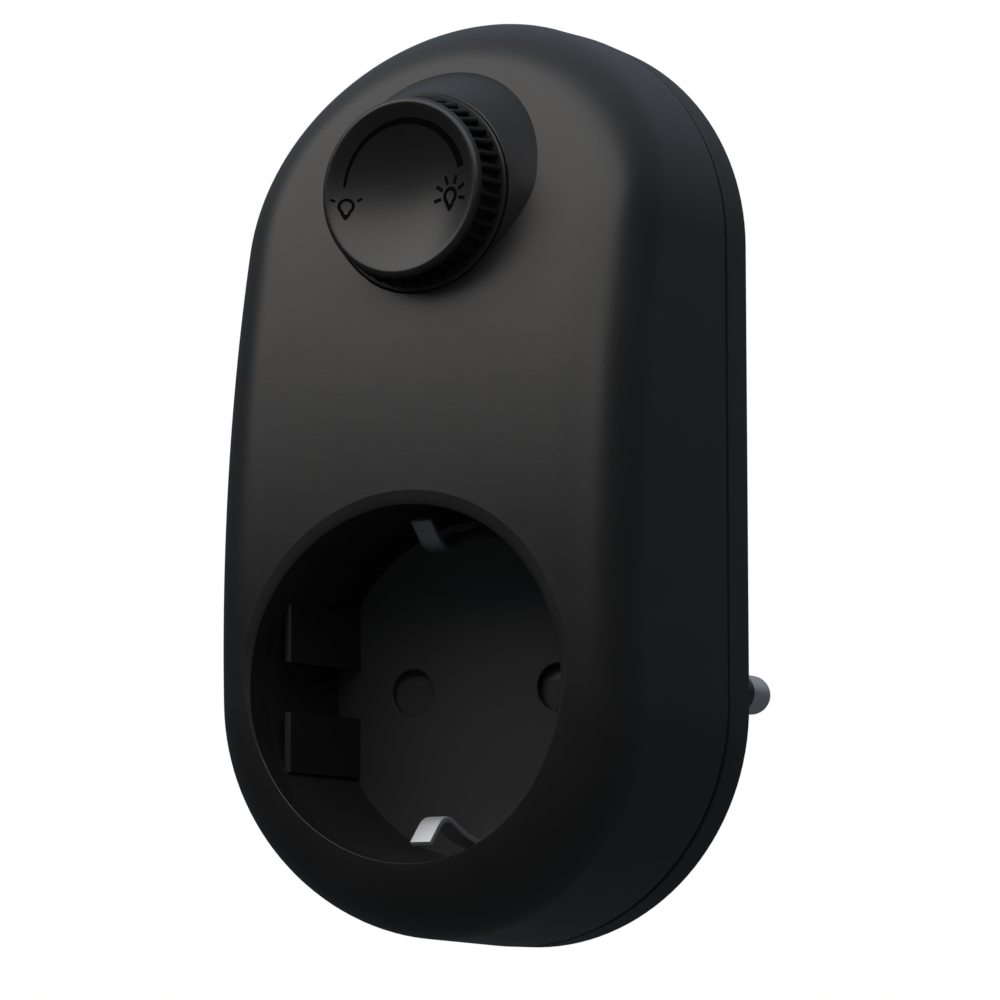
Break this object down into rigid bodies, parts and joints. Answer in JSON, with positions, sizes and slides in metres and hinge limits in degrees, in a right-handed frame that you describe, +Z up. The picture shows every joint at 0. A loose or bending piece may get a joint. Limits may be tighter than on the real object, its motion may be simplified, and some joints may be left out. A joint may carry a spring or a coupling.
{
  "type": "plug-in dimmer",
  "caption": "Obround wall-plug dimmer: a shell with a sunken earthed outlet below a ribbed turning knob, and a pinned plug boss behind; turning the knob dims the lamp plugged into its outlet",
  "frame": {"origin": "midpoint between the two plug pins, on the plug face that they stand out of", "axes": "+Y along the pins into the wall outlet, +Z up towards the knob, +X to the right seen from the front"},
  "size_m": [0.054, 0.0717, 0.1067],
  "materials": {
    "housing_plastic": "fine satin grain",
    "cover_plastic": "fine satin grain",
    "knob_plastic": "satin",
    "insert_plastic": "satin",
    "shutter_plastic": "satin",
    "spring_steel": "drawn wire",
    "carrier_plastic": "moulded",
    "contact_brass": "stamped strip",
    "earth_steel": "stamped strip",
    "plated_brass": "nickel plated",
    "board_laminate": "solder mask",
    "pot_case": "pressed",
    "track_carbon": "printed film",
    "rotor_plastic": "moulded",
    "ferrite": "sintered",
    "copper_wire": "enamelled",
    "capacitor_case": "moulded",
    "component_black": "moulded",
    "sink_aluminium": "rolled",
    "screw_steel": "zinc plated",
    "fuse_glass": "clear",
    "resistor_coat": "lacquered",
    "brown_wire": "insulated",
    "black_wire": "insulated",
    "blue_wire": "insulated"
  },
  "bodies": {
    "case": {"front_housing": "housing_plastic", "rear_cover": "cover_plastic", "socket_insert": "insert_plastic", "shutter_spring": "spring_steel", "contact_carrier": "carrier_plastic", "line_contact": "contact_brass", "neutral_contact": "contact_brass", "neutral_link": "contact_brass", "earth_bracket": "earth_steel", "upper_earth_strip": "plated_brass", "lower_earth_strip": "plated_brass", "line_pin": "plated_brass", "neutral_pin": "plated_brass", "circuit_board": "board_laminate", "pot_body": "pot_case", "pot_track": "track_carbon", "choke_core": "ferrite", "choke_winding": "copper_wire", "film_capacitor": "capacitor_case", "transistor": "component_black", "heat_sink": "sink_aluminium", "heat_sink_screw": "screw_steel", "fuse_tube": "fuse_glass", "fuse_caps": "plated_brass", "fuse_clips": "contact_brass", "resistors": "resistor_coat", "diode": "component_black", "line_in_wire": "brown_wire", "line_out_wire": "black_wire", "neutral_wire": "blue_wire", "housing_screws": "screw_steel", "board_screws": "screw_steel", "carrier_screws": "screw_steel"},
    "dial": {"knob": "knob_plastic", "pot_rotor": "rotor_plastic", "pot_wiper": "contact_brass"},
    "gate": {"shutter": "shutter_plastic"}
  },
  "joints": [
    {"name": "knob_turn", "type": "hinge", "parent": "case", "child": "dial", "pos_m": [0, -0.045, 0.05225], "axis": [0, 1, 0], "range_deg": [-135, 135]},
    {"name": "shutter_slide", "type": "slide", "parent": "case", "child": "gate", "axis": [0, 0, -1], "range_m": [0, 0.006], "stiffness_N_per_m": 100, "springref_m": -0.003, "deforming": ["shutter_spring"]}
  ]
}
